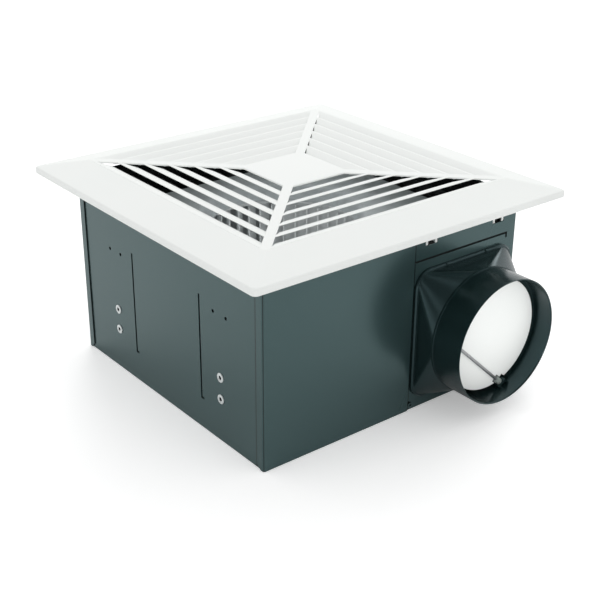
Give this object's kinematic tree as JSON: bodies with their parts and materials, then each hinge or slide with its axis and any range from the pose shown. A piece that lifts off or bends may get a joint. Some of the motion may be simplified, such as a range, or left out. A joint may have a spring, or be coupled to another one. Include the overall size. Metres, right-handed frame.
{
  "type": "ceiling exhaust fan",
  "caption": "Square ceiling exhaust fan: sheet-steel box, louvred pull-off panel, centrifugal wheel and a rectangle-to-round duct adaptor with a pivoted backflow flap.",
  "frame": {"origin": "middle of the back plate's outer face, where the fan lies in the picture", "axes": "+Z from the back plate to the louvred panel, +X out of the duct collar, +Y towards the side that the collar is nearer to"},
  "size_m": [0.324, 0.3, 0.168],
  "materials": {
    "housing_paint": "satin dark grey-green enamel",
    "galvanised": "dull zinc",
    "fastener_steel": "bright zinc",
    "adapter_plastic": "moulded, fine grain",
    "flap_plastic": "smooth white",
    "rod_steel": "drawn",
    "bush_plastic": "smooth",
    "panel_plastic": "white, low gloss",
    "wheel_steel": "galvanised",
    "lamination": "varnished laminations",
    "copper_wire": "enamelled copper wire",
    "bearing_steel": "ground",
    "rubber_black": "matt",
    "box_plastic": "moulded",
    "block_plastic": "moulded",
    "capacitor_case": "moulded"
  },
  "bodies": {
    "housing": {"back_plate": "housing_paint", "outlet_wall": "housing_paint", "outlet_panel": "housing_paint", "rear_wall": "housing_paint", "left_wall": "housing_paint", "right_wall": "housing_paint", "panel_screws": "housing_paint", "inlet_plate": "galvanised", "scroll_wall": "galvanised", "motor_plate": "galvanised", "motor_base": "galvanised", "motor_cover": "galvanised", "left_rivet_nuts": "fastener_steel", "right_rivet_nuts": "fastener_steel", "adapter_screws": "fastener_steel", "motor_screws": "fastener_steel", "motor_feet_screws": "fastener_steel", "terminal_screws": "fastener_steel", "capacitor_screw": "fastener_steel", "outlet_adapter": "adapter_plastic", "damper_bushes": "bush_plastic", "stator_core": "lamination", "windings": "copper_wire", "lower_bearing": "bearing_steel", "upper_bearing": "bearing_steel", "motor_grommets": "rubber_black", "cable_grommet": "rubber_black", "lead_grommet": "rubber_black", "motor_lead": "rubber_black", "terminal_box": "box_plastic", "terminal_cover": "box_plastic", "terminal_block": "block_plastic", "capacitor": "capacitor_case"},
    "rotor": {"wheel_plate": "wheel_steel", "wheel_blades": "wheel_steel", "wheel_ring": "wheel_steel", "hub_nut": "fastener_steel", "motor_shaft": "rod_steel", "rotor_core": "lamination"},
    "damper": {"damper_flap": "flap_plastic", "damper_pin": "rod_steel"},
    "grille": {"grille_panel": "panel_plastic"}
  },
  "joints": [
    {"name": "wheel_spin", "type": "hinge", "parent": "housing", "child": "rotor", "pos_m": [-0.014, 0, 0.045], "axis": [0, 0, 1], "continuous": true},
    {"name": "flap_swing", "type": "hinge", "parent": "housing", "child": "damper", "pos_m": [0.15885, 0.05163, 0.04595], "axis": [0, 0.7314, -0.682], "range_deg": [0, 62]},
    {"name": "panel_pull", "type": "slide", "parent": "housing", "child": "grille", "axis": [0, 0, 1], "range_m": [0, 0.06]}
  ]
}
